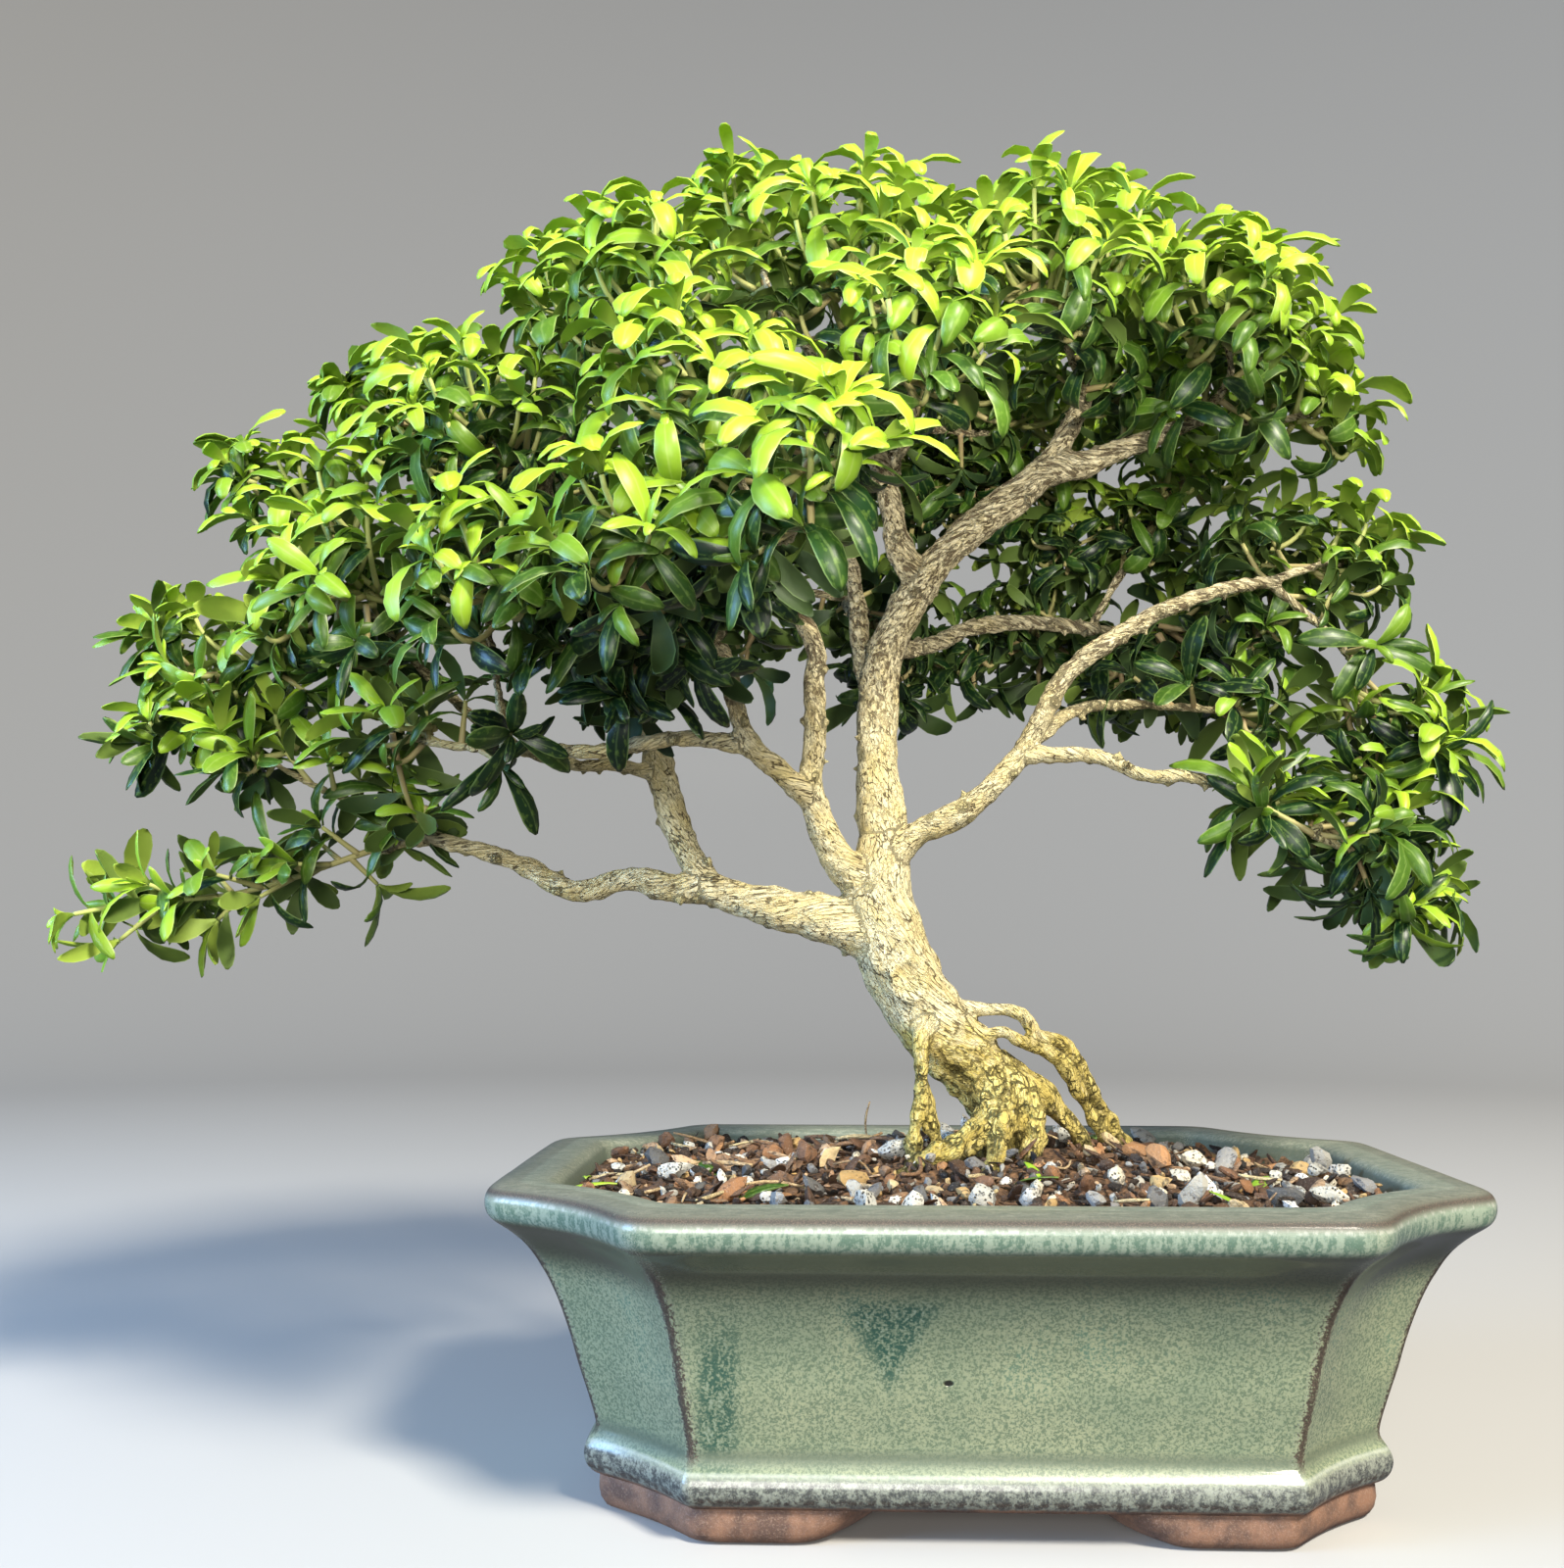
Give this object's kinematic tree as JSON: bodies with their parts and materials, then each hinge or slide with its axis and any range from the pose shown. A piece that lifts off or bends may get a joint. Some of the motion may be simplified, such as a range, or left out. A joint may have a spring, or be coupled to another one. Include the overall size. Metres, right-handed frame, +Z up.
{
  "type": "bonsai tree",
  "caption": "Kingsville boxwood bonsai: a slanting pale trunk, spreading limbs and a domed crown of small leaves, rooted in grit in an oblong glazed pot with cut, hollowed corners.",
  "frame": {"origin": "middle of the box round the whole tree, on the plane that the pot's feet stand on", "axes": "+Z up; the pot's broad front, which the picture shows, faces -Y; +X is to the right of someone who looks at that front"},
  "size_m": [0.3169, 0.2305, 0.3042],
  "materials": {
    "celadon_glaze": "glossy sage green glaze, speckled, breaking to dark brown on the edges, over bare brown clay feet",
    "grit_and_bark": "loose moist grit, pumice and bark bits",
    "pale_bark": "rough pale buff bark with fine cracks and yellow lichen",
    "boxwood_leaf": "glossy small leaves, bright yellow green at the tips and dark green within",
    "screen_plastic": "black plastic mesh"
  },
  "bodies": {
    "root": {"pot": "celadon_glaze", "soil": "grit_and_bark", "wood": "pale_bark", "drain_screen_left": "screen_plastic", "drain_screen_right": "screen_plastic", "spray_low_left": "boxwood_leaf", "spray_top_1": "boxwood_leaf", "spray_top_2": "boxwood_leaf", "spray_top_3": "boxwood_leaf", "spray_top_4": "boxwood_leaf", "spray_top_5": "boxwood_leaf", "spray_top_6": "boxwood_leaf", "spray_front_1": "boxwood_leaf", "spray_front_2": "boxwood_leaf", "spray_front_3": "boxwood_leaf", "spray_front_4": "boxwood_leaf", "spray_front_5": "boxwood_leaf", "spray_front_6": "boxwood_leaf", "spray_front_7": "boxwood_leaf", "spray_front_8": "boxwood_leaf", "spray_front_9": "boxwood_leaf", "spray_front_10": "boxwood_leaf", "spray_front_11": "boxwood_leaf", "spray_left_1": "boxwood_leaf", "spray_left_2": "boxwood_leaf", "spray_left_3": "boxwood_leaf", "spray_left_4": "boxwood_leaf", "spray_left_5": "boxwood_leaf", "spray_right_1": "boxwood_leaf", "spray_right_2": "boxwood_leaf", "spray_right_3": "boxwood_leaf", "spray_right_4": "boxwood_leaf", "spray_right_5": "boxwood_leaf", "spray_right_6": "boxwood_leaf", "spray_right_7": "boxwood_leaf", "spray_back_1": "boxwood_leaf", "spray_back_2": "boxwood_leaf", "spray_back_3": "boxwood_leaf", "spray_back_4": "boxwood_leaf", "spray_back_5": "boxwood_leaf", "spray_back_6": "boxwood_leaf", "spray_back_7": "boxwood_leaf", "spray_back_8": "boxwood_leaf", "spray_back_9": "boxwood_leaf", "spray_back_10": "boxwood_leaf", "spray_back_11": "boxwood_leaf"}
  },
  "joints": []
}
